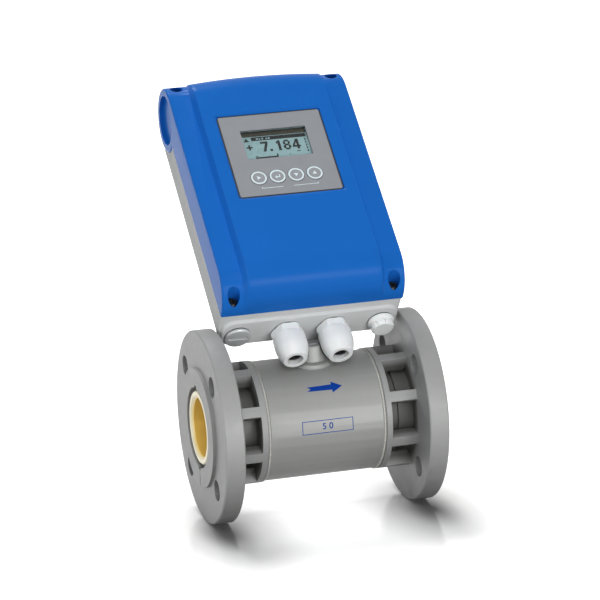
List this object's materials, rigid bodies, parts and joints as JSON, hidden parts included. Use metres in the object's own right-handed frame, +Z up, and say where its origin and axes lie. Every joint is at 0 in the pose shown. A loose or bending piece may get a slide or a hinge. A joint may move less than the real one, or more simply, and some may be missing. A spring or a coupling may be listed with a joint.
{
  "type": "electromagnetic flow meter",
  "caption": "Compact flanged electromagnetic flow meter: ceramic-lined tube in a steel shell between round bolt flanges, with a tilted display housing and cable entries.",
  "frame": {"origin": "on the pipe axis, midway between the two sealing faces", "axes": "+X along the pipe in the direction of flow, +Z up, -Y towards the reader of the display"},
  "size_m": [0.2, 0.2484, 0.357],
  "materials": {
    "casting": "satin, bead blasted and clear",
    "shell_steel": "satin",
    "ceramic": "glazed",
    "seal_rubber": "matte",
    "copper": "enamelled wire",
    "magnet_iron": "plain",
    "electrode_metal": "polished",
    "housing_grey": "textured powder coat",
    "cover_blue": "satin powder coat",
    "screw_steel": "bright",
    "display_panel": "matte film",
    "clear_pane": "clear",
    "lcd": "reflective",
    "key_plastic": "matte film",
    "circuit_board": "solder mask",
    "dark_plastic": "moulded",
    "terminal_plastic": "moulded",
    "gland_plastic": "moulded",
    "plug_metal": "satin"
  },
  "bodies": {
    "meter": {"inlet_flange": "casting", "outlet_flange": "casting", "sensor_shell": "shell_steel", "measuring_tube": "ceramic", "inlet_seal_ring": "seal_rubber", "outlet_seal_ring": "seal_rubber", "upper_pole_shoe": "magnet_iron", "lower_pole_shoe": "magnet_iron", "upper_field_coil": "copper", "lower_field_coil": "copper", "magnet_yoke": "magnet_iron", "front_electrode": "electrode_metal", "rear_electrode": "electrode_metal", "neck": "shell_steel", "neck_gasket": "seal_rubber", "neck_screws": "screw_steel", "rear_housing": "housing_grey", "front_cover": "cover_blue", "housing_seal": "seal_rubber", "cover_screws": "screw_steel", "display_plate": "display_panel", "display_window": "clear_pane", "key_switches": "dark_plastic", "display_board": "circuit_board", "display_board_screws": "screw_steel", "lcd_frame": "dark_plastic", "lcd_glass": "lcd", "main_board": "circuit_board", "main_board_screws": "screw_steel", "power_transformer": "dark_plastic", "terminal_block": "terminal_plastic", "capacitors": "dark_plastic", "gland_body_left": "gland_plastic", "gland_nut_left": "gland_plastic", "gland_seal_left": "seal_rubber", "gland_body_right": "gland_plastic", "gland_nut_right": "gland_plastic", "gland_seal_right": "seal_rubber", "blind_plug": "plug_metal", "vent_plug": "gland_plastic", "entry_sealing_rings": "seal_rubber"},
    "key_right": {"key_right": "key_plastic"},
    "key_enter": {"key_enter": "key_plastic"},
    "key_down": {"key_down": "key_plastic"},
    "key_up": {"key_up": "key_plastic"}
  },
  "joints": [
    {"name": "key_right_press", "type": "slide", "parent": "meter", "child": "key_right", "axis": [0, 0.6626, -0.749], "range_m": [0, 0.0006], "stiffness_N_per_m": 800},
    {"name": "key_enter_press", "type": "slide", "parent": "meter", "child": "key_enter", "axis": [0, 0.6626, -0.749], "range_m": [0, 0.0006], "stiffness_N_per_m": 800},
    {"name": "key_down_press", "type": "slide", "parent": "meter", "child": "key_down", "axis": [0, 0.6626, -0.749], "range_m": [0, 0.0006], "stiffness_N_per_m": 800},
    {"name": "key_up_press", "type": "slide", "parent": "meter", "child": "key_up", "axis": [0, 0.6626, -0.749], "range_m": [0, 0.0006], "stiffness_N_per_m": 800}
  ]
}
